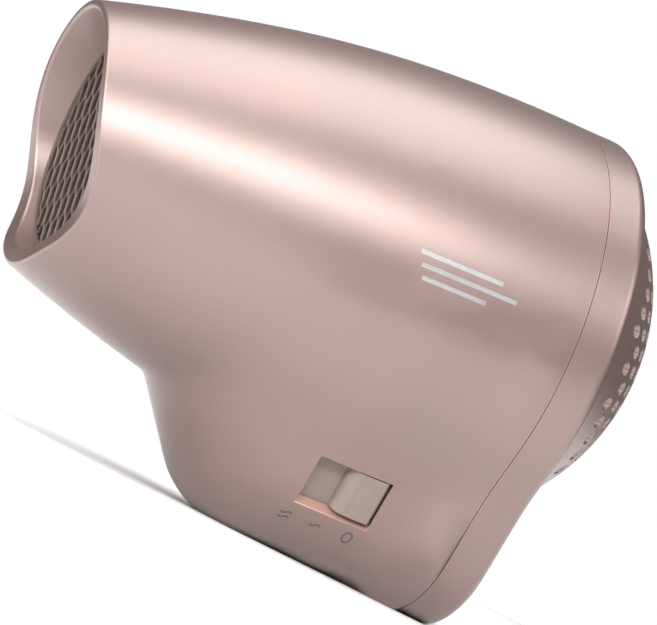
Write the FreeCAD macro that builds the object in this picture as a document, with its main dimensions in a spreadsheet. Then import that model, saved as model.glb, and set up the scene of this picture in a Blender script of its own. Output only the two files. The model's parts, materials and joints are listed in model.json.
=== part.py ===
import FreeCAD, Part
import math
import os

import Sketcher
from FreeCAD import Placement, Rotation, Vector

# Compact hair dryer: a tapered barrel on a short switch stub, a perforated rear cover,
# and the heater, fan, motor and switch inside. Every piece is modelled in the barrel frame
# (origin on the barrel axis at the parting plane, -X towards the outlet, -Y towards the
# switch) and then stood on the flat of its base by one common placement.

SIZES = [
    ("outlet_x", -106.0),
    ("outlet_radius", 27.1),
    ("throat_x", -79.5),
    ("throat_radius", 34.85),
    ("waist_x", -53.0),
    ("waist_radius", 40.5),
    ("shoulder_x", -26.5),
    ("shoulder_radius", 43.4),
    ("barrel_radius", 44.0),
    ("outlet_lift", 1.15),
    ("wall", 2.0),
    ("mouth_radius", 25.6),
    ("mouth_seat_radius", 23.6),
    ("mouth_seat_x", -97.0),
    ("mouth_end_x", -90.0),
    ("lip_round", 0.75),
    ("base_tilt", 5.1),
    ("base_drop", 63.95),
    ("base_trim", 0.3),
    ("base_round", 23.0),
    ("base_soft_side", 14.0),
    ("base_soft_nose", 6.1),
    ("blend_rear", 4.0),
    ("blend_middle", 8.0),
    ("blend_front", 1.2),
    ("flank_tilt", 21.0),
    ("flank_reach_rear", 41.2),
    ("flank_reach_front", 39.3),
    ("prow_x", -66.7),
    ("prow_z", -37.0),
    ("prow_lean", 0.72),
    ("keel_top_z", -14.0),
    ("parting_gap", 0.18),
    ("cover_depth", 9.5),
    ("cover_round", 2.4),
    ("dome_radius", 47.5),
    ("dome_centre_x", -17.7),
    ("crease_radius", 2.5),
    ("spigot_depth", 4.0),
    ("spigot_gap", 0.15),
    ("spigot_wall", 1.3),
    ("vent_hole_radius", 1.45),
    ("vent_pitch", 4.6),
    ("vent_field_radius", 34.2),
    ("cover_screw_z", -51.0),
    ("cover_screw_radius", 1.5),
    ("cover_post_radius", 3.4),
    ("cover_post_length", 14.0),
    ("stand_x", 39.1),
    ("grille_front_x", -97.0),
    ("grille_depth", 4.0),
    ("grille_ring_radius", 23.5),
    ("grille_ring_wall", 0.8),
    ("grille_turn", 15.0),
    ("strip_spacing", 2.2),
    ("strip_wave", 9.4),
    ("strip_thickness", 0.4),
    ("shield_front_x", -89.5),
    ("shield_rear_x", -41.0),
    ("shield_radius", 22.6),
    ("shield_wall", 0.6),
    ("board_front_x", -88.0),
    ("board_rear_x", -43.0),
    ("board_reach", 19.6),
    ("board_thickness", 0.8),
    ("coil_radius", 18.6),
    ("coil_pitch", 4.4),
    ("coil_turns", 9.0),
    ("low_coil_radius", 12.0),
    ("low_coil_pitch", 5.5),
    ("low_coil_turns", 5.0),
    ("coil_wire_radius", 0.45),
    ("duct_front_x", -34.0),
    ("duct_rear_x", 3.0),
    ("duct_radius", 35.9),
    ("duct_wall", 1.5),
    ("duct_flange_radius", 41.4),
    ("duct_flange_x", -13.0),
    ("duct_flange_thickness", 2.0),
    ("motor_cup_wall", 1.5),
    ("stator_front_x", -32.0),
    ("stator_rear_x", -17.0),
    ("stator_thickness", 1.4),
    ("motor_radius", 12.6),
    ("motor_front_x", -34.5),
    ("motor_rear_x", -13.0),
    ("motor_wall", 1.4),
    ("motor_cap_length", 2.5),
    ("magnet_thickness", 1.1),
    ("magnet_length", 15.0),
    ("rotor_radius", 9.7),
    ("rotor_length", 12.0),
    ("rotor_x", -30.0),
    ("commutator_radius", 2.6),
    ("commutator_length", 3.0),
    ("shaft_radius", 1.0),
    ("shaft_front_x", -38.2),
    ("shaft_rear_x", -1.5),
    ("bearing_radius", 3.0),
    ("bearing_length", 2.8),
    ("running_gap", 0.03),
    ("hub_radius", 13.0),
    ("hub_front_x", -11.0),
    ("hub_length", 11.0),
    ("blade_radius", 33.7),
    ("blade_chord", 13.5),
    ("blade_thickness", 1.2),
    ("rectifier_x", -40.4),
    ("rectifier_radius", 10.0),
    ("rectifier_thickness", 1.2),
    ("filter_x", 6.0),
    ("filter_radius", 34.0),
    ("filter_thickness", 1.0),
    ("filter_pitch", 4.0),
    ("switch_x", -26.6),
    ("switch_y", -25.55),
    ("switch_z", -44.15),
    ("window_width", 16.4),
    ("window_height", 10.6),
    ("window_sill", 1.1),
    ("window_rim_depth", 2.6),
    ("window_rim_border", 2.4),
    ("knob_width", 8.8),
    ("knob_gap", 0.3),
    ("knob_rise", 0.4),
    ("switch_travel", 7.0),
    ("shutter_thickness", 1.2),
    ("shutter_overlap", 0.8),
    ("switch_case_width", 22.5),
    ("switch_case_height", 12.0),
    ("switch_case_depth", 7.4),
    ("switch_case_top", 6.0),
    ("switch_post_offset", 9.0),
    ("switch_post_radius", 2.3),
    ("switch_screw_radius", 1.0),
    ("inlet_x", -24.0),
    ("inlet_bore_radius", 3.2),
    ("inlet_bush_radius", 5.0),
    ("inlet_bush_length", 14.0),
]

doc = FreeCAD.newDocument("hair_dryer")
sheet = doc.addObject("Spreadsheet::Sheet", "dims")
for row, (alias, number) in enumerate(SIZES, start=1):
    sheet.set(f"A{row}", alias)
    sheet.set(f"B{row}", str(number))
    sheet.setAlias(f"B{row}", alias)
doc.recompute()

AXIS_X = Vector(1, 0, 0)
AXIS_Y = Vector(0, 1, 0)
AXIS_Z = Vector(0, 0, 1)
FAR = 200.0
pieces = []


def size(alias):
    return float(getattr(sheet, alias))


def value(expression):
    return float(sheet.evalExpression(expression))


STAND = Placement(
    Vector(size("stand_x"), 0, size("base_drop") * math.cos(math.radians(size("base_tilt")))),
    Rotation(AXIS_Y, -size("base_tilt")),
)
SWITCH_FRAME = Placement(
    Vector(size("switch_x"), size("switch_y"), size("switch_z")),
    Rotation(AXIS_X, size("flank_tilt")),
)
TO_X = Rotation(AXIS_Z, AXIS_X)


def keep(obj, label):
    """Name a finished piece and stand it with the rest."""
    obj.Label = label
    obj.Placement = STAND.multiply(obj.Placement)
    pieces.append(obj)
    return obj


def keep_shape(shape, label):
    """A free-form piece whose shape is computed from the sheet."""
    obj = doc.addObject("Part::Feature", label + "_shape")
    obj.Shape = shape
    return keep(obj, label)


def bind(obj, **expressions):
    for name, expression in expressions.items():
        obj.setExpression(name, expression)
    return obj


def place(obj, x="0", y="0", z="0", rotation=None, frame=None):
    """Put a primitive at a point given by expressions, in the barrel frame or the switch frame."""
    spot = Placement(Vector(value(x), value(y), value(z)), rotation or Rotation())
    obj.Placement = frame.multiply(spot) if frame else spot
    return obj


def cylinder(name, radius, length):
    return bind(doc.addObject("Part::Cylinder", name), Radius=radius, Height=length)


def box(name, length, width, height):
    return bind(doc.addObject("Part::Box", name), Length=length, Width=width, Height=height)


def switch_box(name, x_range, depth_range, rise_range):
    """A block in the switch frame: along the slide, into the stub, up the flank."""
    obj = box(
        name,
        f"({x_range[1]}) - ({x_range[0]})",
        f"({depth_range[1]}) - ({depth_range[0]})",
        f"({rise_range[1]}) - ({rise_range[0]})",
    )
    return place(obj, x_range[0], depth_range[0], rise_range[0], frame=SWITCH_FRAME)


def cut(name, base, tool):
    obj = doc.addObject("Part::Cut", name)
    obj.Base = base
    obj.Tool = tool
    return obj


def fuse(name, members):
    obj = doc.addObject("Part::MultiFuse", name)
    obj.Shapes = members
    return obj


def origin_plane(body, role):
    return next(item for item in body.Origin.OriginFeatures if item.Role == role)


def turned(name, profile):
    """A Body turned about the barrel axis from (x, radius) corners, each bound to the sheet."""
    body = doc.addObject("PartDesign::Body", name)
    sketch = body.newObject("Sketcher::SketchObject", name + "_profile")
    sketch.AttachmentSupport = [(origin_plane(body, "XZ_Plane"), "")]
    sketch.MapMode = "FlatFace"
    spots = [Vector(value(x), value(r), 0) for x, r in profile]
    count = len(spots)
    for index, spot in enumerate(spots):
        sketch.addGeometry(Part.LineSegment(spot, spots[(index + 1) % count]), False)
    for index in range(count):
        after = (index + 1) % count
        sketch.addConstraint(Sketcher.Constraint("Coincident", index, 2, after, 1))
    for index, (x, r) in enumerate(profile):
        for kind, expression, number in (
            ("DistanceX", x, spots[index].x),
            ("DistanceY", r, spots[index].y),
        ):
            slot = sketch.addConstraint(Sketcher.Constraint(kind, -1, 1, index, 1, number))
            sketch.setExpression(f"Constraints[{slot}]", expression)
    revolution = body.newObject("PartDesign::Revolution", name + "_turn")
    revolution.Profile = sketch
    revolution.ReferenceAxis = (sketch, ["H_Axis"])
    revolution.Angle = 360.0
    return body


def tube_profile(front, rear, outer, inner):
    return [(front, inner), (rear, inner), (rear, outer), (front, outer)]


# ---------------------------------------------------------------- outer shell


def ring_wire(x, radius, lift):
    return Part.Wire([Part.Circle(Vector(x, 0, lift), AXIS_X, radius).toShape()])


def barrel_solid(inset):
    """The tapered barrel, its centre line lifting slightly towards the outlet."""
    lift = size("outlet_lift")
    reach = size("outlet_x")
    wires = [ring_wire(x, r - inset, lift * (x / reach) ** 2) for x, r in barrel_stations()]
    front = Part.makeLoft(wires, True, False)
    radius = size("barrel_radius") - inset
    rear = Part.makeCylinder(radius, size("cover_depth"), Vector(0, 0, 0), AXIS_X)
    return front.fuse(rear)


def keel_outline(z, inset):
    """Plan of the stub at one height: two flanks meeting a round prow."""
    tilt = math.radians(size("flank_tilt"))
    fall = abs(z) * math.sin(tilt)
    half_rear = (size("flank_reach_rear") - inset - fall) / math.cos(tilt)
    half_front = (size("flank_reach_front") - inset - fall) / math.cos(tilt)
    lean = size("prow_lean")
    nose_x = size("prow_x") + lean * (size("prow_z") - z) + inset * math.hypot(1.0, lean)
    centre_x = nose_x + half_front
    rear_x = size("cover_depth")
    distance = math.hypot(centre_x - rear_x, half_rear)
    bearing = math.atan2(half_rear, rear_x - centre_x)
    angle = bearing + math.acos(half_front / distance)
    touch_x = centre_x + half_front * math.cos(angle)
    touch_y = half_front * math.sin(angle)
    corners = [
        Vector(rear_x, half_rear, z),
        Vector(touch_x, touch_y, z),
        Vector(touch_x, -touch_y, z),
        Vector(rear_x, -half_rear, z),
    ]
    return Part.Wire([
        Part.LineSegment(corners[0], corners[1]).toShape(),
        Part.Arc(corners[1], Vector(nose_x, 0, z), corners[2]).toShape(),
        Part.LineSegment(corners[2], corners[3]).toShape(),
        Part.LineSegment(corners[3], corners[0]).toShape(),
    ])


def below_base(inset):
    """Everything under the flat of the base."""
    block = Part.makeBox(2 * FAR, 2 * FAR, FAR, Vector(-FAR, -FAR, -FAR))
    block.rotate(Vector(0, 0, 0), AXIS_Y, size("base_tilt"))
    block.translate(Vector(0, 0, inset - size("base_drop")))
    return block


def keel_solid(inset):
    """The stub: sloping flanks, a leaning prow and a rounded flat base."""
    floor = -size("base_drop") - 8.0
    wires = [keel_outline(size("keel_top_z"), inset), keel_outline(floor, inset)]
    stub = Part.makeLoft(wires, True, True).cut(below_base(inset))
    slope = math.tan(math.radians(size("base_tilt")))
    level = inset - size("base_drop")
    rim = [
        edge
        for edge in stub.Edges
        if edge.BoundBox.XLength > 0.01
        and all(abs(v.Point.z - level + slope * v.Point.x) < 0.05 for v in edge.Vertexes)
    ]
    return stub.makeFillet(size("base_round") - inset, rim)


def shell_solid(inset):
    return barrel_solid(inset).fuse(keel_solid(inset)).removeSplitter()


# The outside of barrel and stub is one moulded skin. It is found as the zero of a field: the
# barrel and the stub as distances, joined with a soft blend that is tight at the prow and wide
# over the switch, then lofted through closed sections.

SECTION_POINTS = 72
SECTION_STATIONS = [
    -112.0, -106.0, -95.0, -84.0, -77.0, -73.0, -70.5, -69.0, -67.5, -66.0, -64.5, -63.0,
    -61.0, -59.0, -56.5, -54.0, -51.0, -47.5, -43.5, -39.0, -34.0, -28.0, -20.0, -10.0, 0.0,
]
BLEND_FRONT_X = -66.0
BLEND_MIDDLE_X = -30.0
KEEL_SHOULDER_Z = -10.0


def barrel_stations():
    return [
        (size("outlet_x") - 6.0, size("outlet_radius") - 2.0),
        (size("outlet_x"), size("outlet_radius")),
        (size("throat_x"), size("throat_radius")),
        (size("waist_x"), size("waist_radius")),
        (size("shoulder_x"), size("shoulder_radius")),
        (0.0, size("barrel_radius")),
    ]


BARREL_CURVE = Part.BSplineCurve()
BARREL_CURVE.interpolate([Vector(x, r, 0) for x, r in barrel_stations()])


def barrel_radius_at(x):
    low, high = BARREL_CURVE.FirstParameter, BARREL_CURVE.LastParameter
    for _ in range(40):
        middle = (low + high) / 2
        if BARREL_CURVE.value(middle).x < x:
            low = middle
        else:
            high = middle
    return BARREL_CURVE.value(low).y


def mix(start, end, share):
    return start + (end - start) * min(1.0, max(0.0, share))


def blend_at(x):
    if x > BLEND_MIDDLE_X:
        return mix(size("blend_rear"), size("blend_middle"), x / BLEND_MIDDLE_X)
    share = (x - BLEND_FRONT_X) / (BLEND_MIDDLE_X - BLEND_FRONT_X)
    return mix(size("blend_front"), size("blend_middle"), share)


class SkinField:
    """Signed field of the outside skin in one cross-section: negative inside."""

    def __init__(self, x):
        self.x = x
        self.radius = barrel_radius_at(min(x, 0.0))
        self.lift = size("outlet_lift") * (min(x, 0.0) / size("outlet_x")) ** 2
        self.blend = blend_at(x)
        self.tilt = math.radians(size("flank_tilt"))
        self.slope = math.radians(size("base_tilt"))
        self.side = size("base_soft_side")
        self.nose = size("base_soft_nose")
        self.reach_rear = size("flank_reach_rear")
        self.reach_front = size("flank_reach_front")
        self.prow_x = size("prow_x")
        self.prow_z = size("prow_z")
        self.prow_lean = size("prow_lean")
        self.drop = size("base_drop") + size("base_trim")
        self.depth = size("cover_depth")

    def plan(self, y, z):
        """Distance to the stub's plan outline at this height, and how much it faces forward."""
        level = min(z, KEEL_SHOULDER_Z)
        fall = -level * math.sin(self.tilt)
        half_rear = (self.reach_rear - fall) / math.cos(self.tilt)
        half_nose = (self.reach_front - fall) / math.cos(self.tilt)
        centre = self.prow_x + self.prow_lean * (self.prow_z - level) + half_nose
        distance = math.hypot(centre - self.depth, half_rear)
        bearing = math.atan2(half_rear, self.depth - centre)
        angle = bearing + math.acos(min(1.0, half_nose / distance))
        along, across = self.x - centre, abs(y)
        if along * math.sin(angle) > across * math.cos(angle):
            gap = along * math.cos(angle) + across * math.sin(angle) - half_nose
            return gap * math.cos(self.tilt), 0.0
        reach = math.hypot(along, across)
        facing = (max(0.0, -along) / reach) ** 2
        return (reach - half_nose) * math.cos(self.tilt), facing

    def value(self, y, z):
        barrel = math.hypot(y, z - self.lift) - self.radius
        outline, facing = self.plan(y, z)
        floor = (-self.drop - self.x * math.tan(self.slope) - z) * math.cos(self.slope)
        soft = mix(self.side, self.nose, facing)
        keel = min(-soft, max(outline, floor)) + math.hypot(
            max(outline + soft, 0.0), max(floor + soft, 0.0)
        )
        keel = max(keel, z - KEEL_SHOULDER_Z - 2.0)
        share = max(self.blend - abs(barrel - keel), 0.0) / self.blend
        return min(barrel, keel) - share * share * self.blend / 4

    def outline(self):
        """The closed outline of the section, points packed closer towards the base."""
        points = []
        for index in range(SECTION_POINTS):
            turn = 2 * math.pi * index / SECTION_POINTS
            turn += 0.45 * math.sin(turn)
            y, z = math.sin(turn), math.cos(turn)
            near, far = 10.0, 90.0
            for _ in range(36):
                middle = (near + far) / 2
                if self.value(middle * y, middle * z) < 0:
                    near = middle
                else:
                    far = middle
            points.append(Vector(self.x, near * y, near * z))
        curve = Part.BSplineCurve()
        curve.interpolate(points, PeriodicFlag=True)
        return Part.Wire([curve.toShape()])


def skin_loft(stations):
    return Part.makeLoft([SkinField(x).outline() for x in stations], True, False)


def slab(x_front, x_rear):
    return Part.makeBox(x_rear - x_front, 2 * FAR, 2 * FAR, Vector(x_front, -FAR, -FAR))


def mouth_cutter():
    """All that lies in front of the lip, whose side view is a lazy S with a deep notch."""
    lip = [
        (0.9, 40.0),
        (0.0, 28.3),
        (-0.3, 24.6),
        (-1.3, 14.8),
        (-4.3, 1.2),
        (-7.3, -12.6),
        (-6.2, -19.0),
        (-4.6, -23.5),
        (-4.0, -27.5),
        (-4.4, -40.0),
    ]
    reach = size("outlet_x")
    curve = Part.BSplineCurve()
    curve.interpolate([Vector(reach - x, -FAR, z) for x, z in lip])
    first = Vector(reach - lip[0][0], -FAR, lip[0][1])
    last = Vector(reach - lip[-1][0], -FAR, lip[-1][1])
    out_top = Vector(reach - FAR, -FAR, lip[0][1])
    out_low = Vector(reach - FAR, -FAR, lip[-1][1])
    wire = Part.Wire([
        curve.toShape(),
        Part.LineSegment(last, out_low).toShape(),
        Part.LineSegment(out_low, out_top).toShape(),
        Part.LineSegment(out_top, first).toShape(),
    ])
    return Part.Face(wire).extrude(Vector(0, 2 * FAR, 0))


def mouth_bore():
    """The converging inside of the mouth, and the seat of the grille."""
    lift = size("outlet_lift")
    wires = [
        ring_wire(size("outlet_x") - 4.0, size("mouth_radius") + 0.9, lift),
        ring_wire(size("mouth_seat_x"), size("mouth_seat_radius"), lift),
    ]
    seat_length = size("mouth_end_x") - size("mouth_seat_x") + 1.0
    start = Vector(size("mouth_seat_x"), 0, lift)
    seat = Part.makeCylinder(size("mouth_seat_radius"), seat_length, start, AXIS_X)
    return Part.makeLoft(wires, True, False).fuse(seat)


def in_switch_frame(shape):
    shape.Placement = SWITCH_FRAME.multiply(shape.Placement)
    return shape


def switch_block(x_range, depth_range, rise_range):
    spans = (x_range, depth_range, rise_range)
    lengths = [high - low for low, high in spans]
    return in_switch_frame(Part.makeBox(*lengths, Vector(*[low for low, high in spans])))


def switch_rod(radius, x, rise, depth_range):
    start = Vector(x, depth_range[0], rise)
    length = depth_range[1] - depth_range[0]
    return in_switch_frame(Part.makeCylinder(radius, length, start, AXIS_Y))


def window_sill():
    """The slope that opens the lower edge of the window out to the skin."""
    half_window = size("window_width") / 2
    low = -size("window_height") / 2
    depth = size("window_rim_depth")
    outside = 3.0
    widest = low - size("window_sill") * (depth + outside) / depth
    corners = [(depth, low), (-outside, widest), (-outside, low + 1.0), (depth, low + 1.0)]
    points = [Vector(-half_window, y, z) for y, z in corners]
    profile = Part.Face(Part.makePolygon(points + points[:1]))
    return in_switch_frame(profile.extrude(Vector(2 * half_window, 0, 0)))


def base_point(x, height=0.0):
    """A point over the base's centre line, by its height above the base."""
    tilt = math.radians(size("base_tilt"))
    foot = Vector(x, 0, -size("base_drop") - x * math.tan(tilt))
    return foot + base_normal() * height


def base_normal():
    tilt = math.radians(size("base_tilt"))
    return Vector(math.sin(tilt), 0, math.cos(tilt))


def front_housing():
    wall = size("wall")
    hollow = shell_solid(wall).common(slab(size("mouth_end_x"), 1.0))
    half_window = size("window_width") / 2
    half_rise = size("window_height") / 2
    border = size("window_rim_border")
    rim_depth = size("window_rim_depth")
    rim = switch_block(
        (-half_window - border, half_window + border),
        (-3.0, rim_depth),
        (-half_rise - border, half_rise + border),
    )
    posts = [
        switch_rod(size("switch_post_radius"), 0.0, rise, (0.0, size("switch_case_top")))
        for rise in (-size("switch_post_offset"), size("switch_post_offset"))
    ]
    post_x = -size("cover_post_length")
    post_start = Vector(post_x, 0, size("cover_screw_z"))
    post = Part.makeCylinder(size("cover_post_radius"), -post_x, post_start, AXIS_X)
    web_low = -size("base_drop") - 4.0
    web = Part.makeBox(-post_x, 2.0, size("cover_screw_z") - web_low, Vector(post_x, -1.0, web_low))
    hollow = hollow.cut(Part.makeCompound([rim]))
    for solid in posts + [post, web]:
        hollow = hollow.cut(solid)
    window = switch_block((-half_window, half_window), (-9.0, 9.0), (-half_rise, half_rise))
    reach = half_window + size("shutter_overlap") + size("switch_travel") + 0.5
    shutter_rise = half_rise + size("shutter_overlap") + 0.4
    shutter_way = switch_block((-reach, 0.0), (rim_depth, 5.5), (-shutter_rise, shutter_rise))
    tools = [hollow, mouth_bore(), mouth_cutter(), window, window_sill(), shutter_way]
    tools.append(below_base(0.0))
    for rise in (-size("switch_post_offset"), size("switch_post_offset")):
        tools.append(switch_rod(size("switch_screw_radius"), 0.0, rise, (2.0, 7.0)))
    pilot_start = Vector(post_x - 1.0, 0, size("cover_screw_z"))
    pilot_radius = size("cover_screw_radius") + size("running_gap")
    tools.append(Part.makeCylinder(pilot_radius, FAR, pilot_start, AXIS_X))
    bush_start = base_point(size("inlet_x"), -4.0)
    bush_radius = size("inlet_bush_radius")
    tools.append(Part.makeCylinder(bush_radius, 12.0, bush_start, base_normal()))
    shell = skin_loft(SECTION_STATIONS).cut(tools)
    lip = [
        edge
        for edge in shell.Edges
        if edge.BoundBox.XMax < size("mouth_seat_x") - 0.5 and edge.BoundBox.YLength > 1.0
    ]
    return shell.makeFillet(size("lip_round"), lip).Solids[0]


def dome_solid(inset, x_front):
    radius = size("dome_radius") - inset
    ball = Part.makeSphere(radius, Vector(size("dome_centre_x"), 0, 0))
    return ball.common(slab(x_front, FAR))


def crease_ring():
    """The soft hollow where the dome meets the flat back of the cover, turned about the axis."""
    depth = size("cover_depth")
    soft = size("crease_radius")
    ball = size("dome_radius")
    reach_x = depth + soft - size("dome_centre_x")
    reach_r = math.sqrt((ball + soft) ** 2 - reach_x ** 2)
    bend = Vector(depth + soft, 0, reach_r)
    toward_ball = Vector(-reach_x, 0, -reach_r).normalize()
    halfway = (toward_ball + Vector(-1, 0, 0)).normalize()
    on_plane = Vector(depth, 0, reach_r)
    on_ball = bend + toward_ball * soft
    inside = Vector(depth - 0.6, 0, (on_ball.z + on_plane.z) / 2 - 0.6)
    outline = Part.Wire([
        Part.Arc(on_plane, bend + halfway * soft, on_ball).toShape(),
        Part.LineSegment(on_ball, inside).toShape(),
        Part.LineSegment(inside, on_plane).toShape(),
    ])
    return Part.Face(outline).revolve(Vector(0, 0, 0), AXIS_X, 360.0)


def vent_spots():
    """Staggered rows of vent holes inside the round field, as (y, z)."""
    pitch = size("vent_pitch")
    rise = pitch * math.sqrt(3.0) / 2
    reach = size("vent_field_radius")
    rows = int(reach / rise) + 1
    spots = []
    for row in range(-rows, rows + 1):
        shift = pitch / 2 if row % 2 else 0.0
        for column in range(-rows, rows + 1):
            y = column * pitch + shift
            z = row * rise
            if math.hypot(y, z) <= reach:
                spots.append((y, z))
    return spots


def rear_cover():
    gap = size("parting_gap")
    depth = size("cover_depth")
    skirt = skin_loft([gap, (gap + depth) / 2, depth])
    back = [
        edge
        for edge in skirt.Edges
        if abs(edge.BoundBox.XMin - depth) < 0.01 and abs(edge.BoundBox.XMax - depth) < 0.01
    ]
    skirt = skirt.makeFillet(size("cover_round"), back)
    cover = skirt.fuse([dome_solid(0.0, gap + 3.0), crease_ring()])
    wall = size("wall")
    hollow = shell_solid(wall).common(slab(-1.0, depth - wall))
    spigot_depth = size("spigot_depth")
    inset = wall + size("spigot_gap")
    spigot = shell_solid(inset).common(slab(-spigot_depth, gap + 1.0))
    root = shell_solid(wall - 0.5).common(slab(gap, gap + 1.2))
    core = shell_solid(inset + size("spigot_wall")).common(slab(-FAR, depth - wall))
    cover = cover.cut([hollow, dome_solid(wall, depth - wall - 4.0)])
    cover = cover.fuse(spigot.fuse(root).cut(core))
    z_post = size("cover_screw_z")
    post_radius = size("cover_post_radius")
    post = Part.makeCylinder(post_radius + 1.6, depth - 1.0, Vector(0.3, 0, z_post), AXIS_X)
    cover = cover.fuse(post)
    recess = Part.makeCylinder(post_radius - 0.2, FAR, Vector(depth - 4.0, 0, z_post), AXIS_X)
    bore = Part.makeCylinder(size("cover_screw_radius") + 0.1, FAR, Vector(-9, 0, z_post), AXIS_X)
    clear = Part.makeCylinder(post_radius + 0.3, 10.0, Vector(-9.7, 0, z_post), AXIS_X)
    web_slot = Part.makeBox(10.0, 2.6, 22.0, Vector(-9.7, -1.3, z_post - 22.0))
    holes = [
        Part.makeCylinder(size("vent_hole_radius"), FAR, Vector(9.0, y, z), AXIS_X)
        for y, z in vent_spots()
    ]
    return cover.cut(holes + [recess, bore, clear, web_slot, below_base(0.0)]).Solids[0]


keep_shape(front_housing(), "front_housing")
keep_shape(rear_cover(), "rear_cover")

screw_length = "dims.cover_post_length + dims.cover_depth - 6"
shank = cylinder("cover_screw_shank", "dims.cover_screw_radius", screw_length)
place(shank, "2.5 - dims.cover_post_length", z="dims.cover_screw_z", rotation=TO_X)
head = cylinder("cover_screw_head", "dims.cover_screw_radius * 1.9", "1.8")
place(head, "dims.cover_depth - 4", z="dims.cover_screw_z", rotation=TO_X)
slot_box = box("cover_screw_slot", "2", "0.7", "9")
place(slot_box, "dims.cover_depth - 3", "-0.35", "dims.cover_screw_z - 4.5")
keep(cut("cover_screw_cut", fuse("cover_screw_blank", [shank, head]), slot_box), "cover_screw")

# ---------------------------------------------------------------- outlet grille


def raised(obj, lift="dims.outlet_lift"):
    """Sit a turned piece on the lifted centre line near the outlet."""
    obj.Placement = Placement(Vector(0, 0, value(lift)), Rotation())
    return obj


grille_ring = turned(
    "grille_ring",
    tube_profile(
        "dims.grille_front_x",
        "dims.grille_front_x + dims.grille_depth + 0.5",
        "dims.grille_ring_radius",
        "dims.grille_ring_radius - dims.grille_ring_wall",
    ),
)
keep(raised(grille_ring), "outlet_grille_ring")


def wavy_strip(offset, sign, half_length):
    """One corrugated strip of the grille, standing on edge along X."""
    wave = size("strip_wave")
    thickness = size("strip_thickness")
    swing = (size("strip_spacing") - thickness) / 2 - 0.03
    flatness = 1.7
    steps = 16
    count = int(2 * half_length / wave * steps) + 1
    start = -half_length
    step = 2 * half_length / count
    sides = []
    for side in (-thickness / 2, thickness / 2):
        points = []
        for index in range(count + 1):
            along = start + step * index
            crest = math.tanh(flatness * math.cos(2 * math.pi * along / wave))
            across = offset + sign * swing * crest / math.tanh(flatness) + side
            points.append(Vector(size("grille_front_x") + 0.2, across, along))
        curve = Part.BSplineCurve()
        curve.interpolate(points)
        sides.append((curve.toShape(), points))
    (left, left_points), (right, right_points) = sides
    wire = Part.Wire([
        left,
        Part.LineSegment(left_points[-1], right_points[-1]).toShape(),
        right,
        Part.LineSegment(right_points[0], left_points[0]).toShape(),
    ])
    return Part.Face(wire).extrude(Vector(size("grille_depth"), 0, 0))


def grille_strips():
    reach = size("grille_ring_radius") - size("grille_ring_wall") - 0.05
    spacing = size("strip_spacing")
    number = int(reach / spacing)
    solids = []
    for index in range(-number, number + 1):
        offset = index * spacing
        room = reach ** 2 - (abs(offset) + spacing / 2) ** 2
        if room > 4.0:
            solids.append(wavy_strip(offset, -1 if index % 2 else 1, math.sqrt(room)))
    strips = Part.makeCompound(solids)
    strips.rotate(Vector(0, 0, 0), AXIS_X, -size("grille_turn"))
    strips.translate(Vector(0, 0, size("outlet_lift")))
    return strips


keep_shape(grille_strips(), "outlet_grille_strips")

# ---------------------------------------------------------------- heater

heat_shield = turned(
    "shield",
    tube_profile(
        "dims.shield_front_x",
        "dims.shield_rear_x",
        "dims.shield_radius",
        "dims.shield_radius - dims.shield_wall",
    ),
)
keep(heat_shield, "heat_shield_tube")

air_cone = turned(
    "cone",
    [
        ("dims.shield_rear_x", "dims.shield_radius + 0.1"),
        ("dims.duct_front_x", "dims.duct_radius - 1"),
        ("dims.duct_front_x", "dims.duct_radius"),
        ("dims.shield_rear_x - 1", "dims.shield_radius + 1.1"),
        ("dims.shield_rear_x - 6", "dims.shield_radius + 1.1"),
        ("dims.shield_rear_x - 6", "dims.shield_radius + 0.1"),
    ],
)
keep(air_cone, "air_cone")

BOARD_LENGTH = "dims.board_rear_x - dims.board_front_x"
BOARD_SPAN = "2 * dims.board_reach"
vertical = box("vertical_sheet", BOARD_LENGTH, "dims.board_thickness", BOARD_SPAN)
place(vertical, "dims.board_front_x", "-dims.board_thickness / 2", "-dims.board_reach")
notch = box("vertical_notch", "dims.board_reach + 4", "4", "dims.board_thickness + 0.1")
place(notch, "dims.board_front_x - 1", "-2", "-dims.board_thickness / 2 - 0.05")
keep(cut("vertical_board", vertical, notch), "heater_board_vertical")

level = box("level_sheet", BOARD_LENGTH, BOARD_SPAN, "dims.board_thickness")
place(level, "dims.board_front_x", "-dims.board_reach", "-dims.board_thickness / 2")
notch = box("level_notch", BOARD_LENGTH, "dims.board_thickness + 0.1", "4")
place(notch, "dims.board_front_x + dims.board_reach + 2.9", "-dims.board_thickness / 2 - 0.05", "-2")
keep(cut("level_board", level, notch), "heater_board_horizontal")


def coil(radius, pitch, turns, start_x):
    """A heating wire wound along the barrel axis, straight from one board edge to the next."""
    corners = []
    for quarter in range(int(turns) * 4 + 1):
        angle = math.pi / 2 * quarter
        x = start_x + pitch * quarter / 4
        corners.append(Vector(x, radius * math.cos(angle), radius * math.sin(angle)))
    heading = corners[1] - corners[0]
    section = Part.Circle(corners[0], heading, size("coil_wire_radius")).toShape()
    return Part.makePolygon(corners).makePipeShell([Part.Wire([section])], True, False, 1)


main_coil = coil(size("coil_radius"), size("coil_pitch"), size("coil_turns"), -86.0)
keep_shape(main_coil, "heater_coil_main")
low_coil = coil(size("low_coil_radius"), size("low_coil_pitch"), size("low_coil_turns"), -80.0)
keep_shape(low_coil, "heater_coil_low")

keep(place(cylinder("thermostat_can", "4.2", "3.6"), "-47.3", "9", "0.45"), "thermostat")
fuse_can = cylinder("fuse_can", "1.5", "8")
keep(place(fuse_can, "-52", "-7", "2", rotation=TO_X), "thermal_fuse")

# ---------------------------------------------------------------- fan duct and stator

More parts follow.
